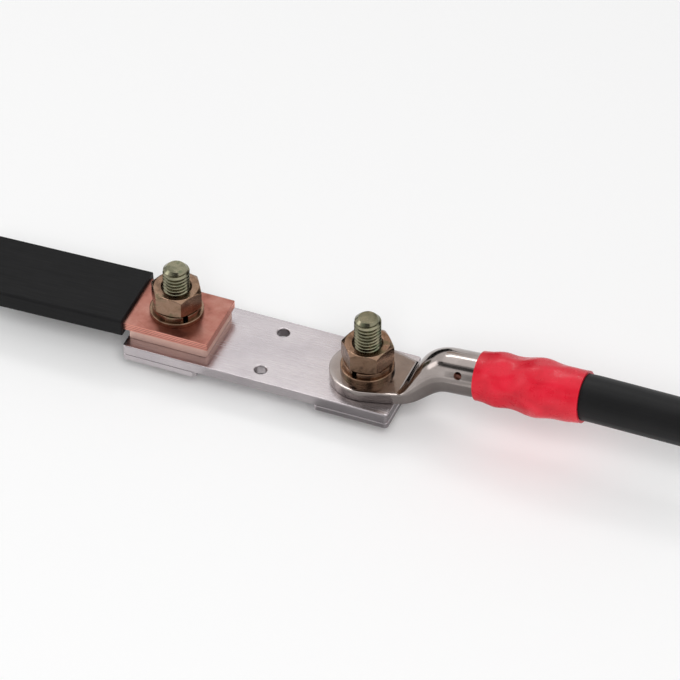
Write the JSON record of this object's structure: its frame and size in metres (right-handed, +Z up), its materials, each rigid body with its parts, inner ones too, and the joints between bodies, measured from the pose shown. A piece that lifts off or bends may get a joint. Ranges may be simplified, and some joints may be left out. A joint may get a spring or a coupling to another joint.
{
  "type": "cable splice connector",
  "caption": "Bolted splice between a covered flat copper bar and a round cable: a link plate carries the bar's bare end and a crimped lug, each clamped by a bolt, washers and nut.",
  "frame": {"origin": "middle of the link plate's underside, between its two fixing holes", "axes": "+X along the link plate from the bar to the cable, +Y across it, +Z up to the nuts"},
  "size_m": [0.2868, 0.035, 0.0414],
  "materials": {
    "tinned_copper": "satin tin plating",
    "zinc_steel": "yellow passivated zinc plating",
    "copper": "bare rolled copper",
    "black_pvc": "extruded, matt",
    "red_sleeve": "semi-gloss shrunk sleeve"
  },
  "bodies": {
    "root": {"link_plate": "tinned_copper", "bar_side_backing_plate": "tinned_copper", "cable_side_backing_plate": "tinned_copper", "cable_lug": "tinned_copper", "bar_side_bolt": "zinc_steel", "cable_side_bolt": "zinc_steel", "bar_side_flat_washer": "zinc_steel", "cable_side_flat_washer": "zinc_steel", "bar_side_spring_washer": "zinc_steel", "cable_side_spring_washer": "zinc_steel", "bar_side_nut": "zinc_steel", "cable_side_nut": "zinc_steel", "bar_strip_1": "copper", "bar_strip_2": "copper", "bar_strip_3": "copper", "bar_strip_4": "copper", "bar_packing_plate": "copper", "cable_core": "copper", "bar_cover": "black_pvc", "cable_jacket": "black_pvc", "lug_sleeve": "red_sleeve"}
  },
  "joints": []
}
